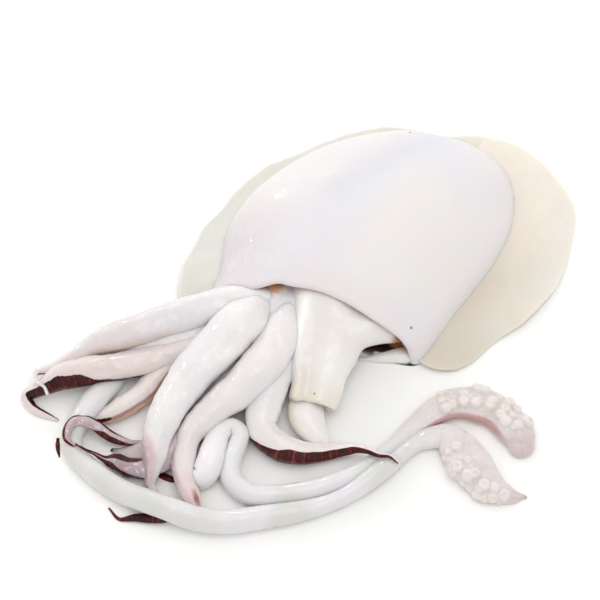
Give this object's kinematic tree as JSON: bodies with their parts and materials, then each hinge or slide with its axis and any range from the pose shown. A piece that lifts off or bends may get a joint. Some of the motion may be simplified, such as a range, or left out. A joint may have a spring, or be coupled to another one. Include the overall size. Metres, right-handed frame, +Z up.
{
  "type": "whole raw cuttlefish",
  "caption": "Whole skinned raw cuttlefish lying belly side up, with fin skirt, funnel, arms and two long tentacles with clubs.",
  "frame": {"origin": "middle of the underside of the bounding box, on the surface the animal lies on", "axes": "+Y runs along the mantle towards the tail, +Z points up from the surface, and +X is to the right when looking down with the tail away"},
  "size_m": [0.2325, 0.284, 0.0339],
  "materials": {
    "flesh": "wet, pale and slightly see-through flesh, with maroon skin left along the arms"
  },
  "bodies": {
    "root": {"cuttlefish": "flesh"}
  },
  "joints": []
}
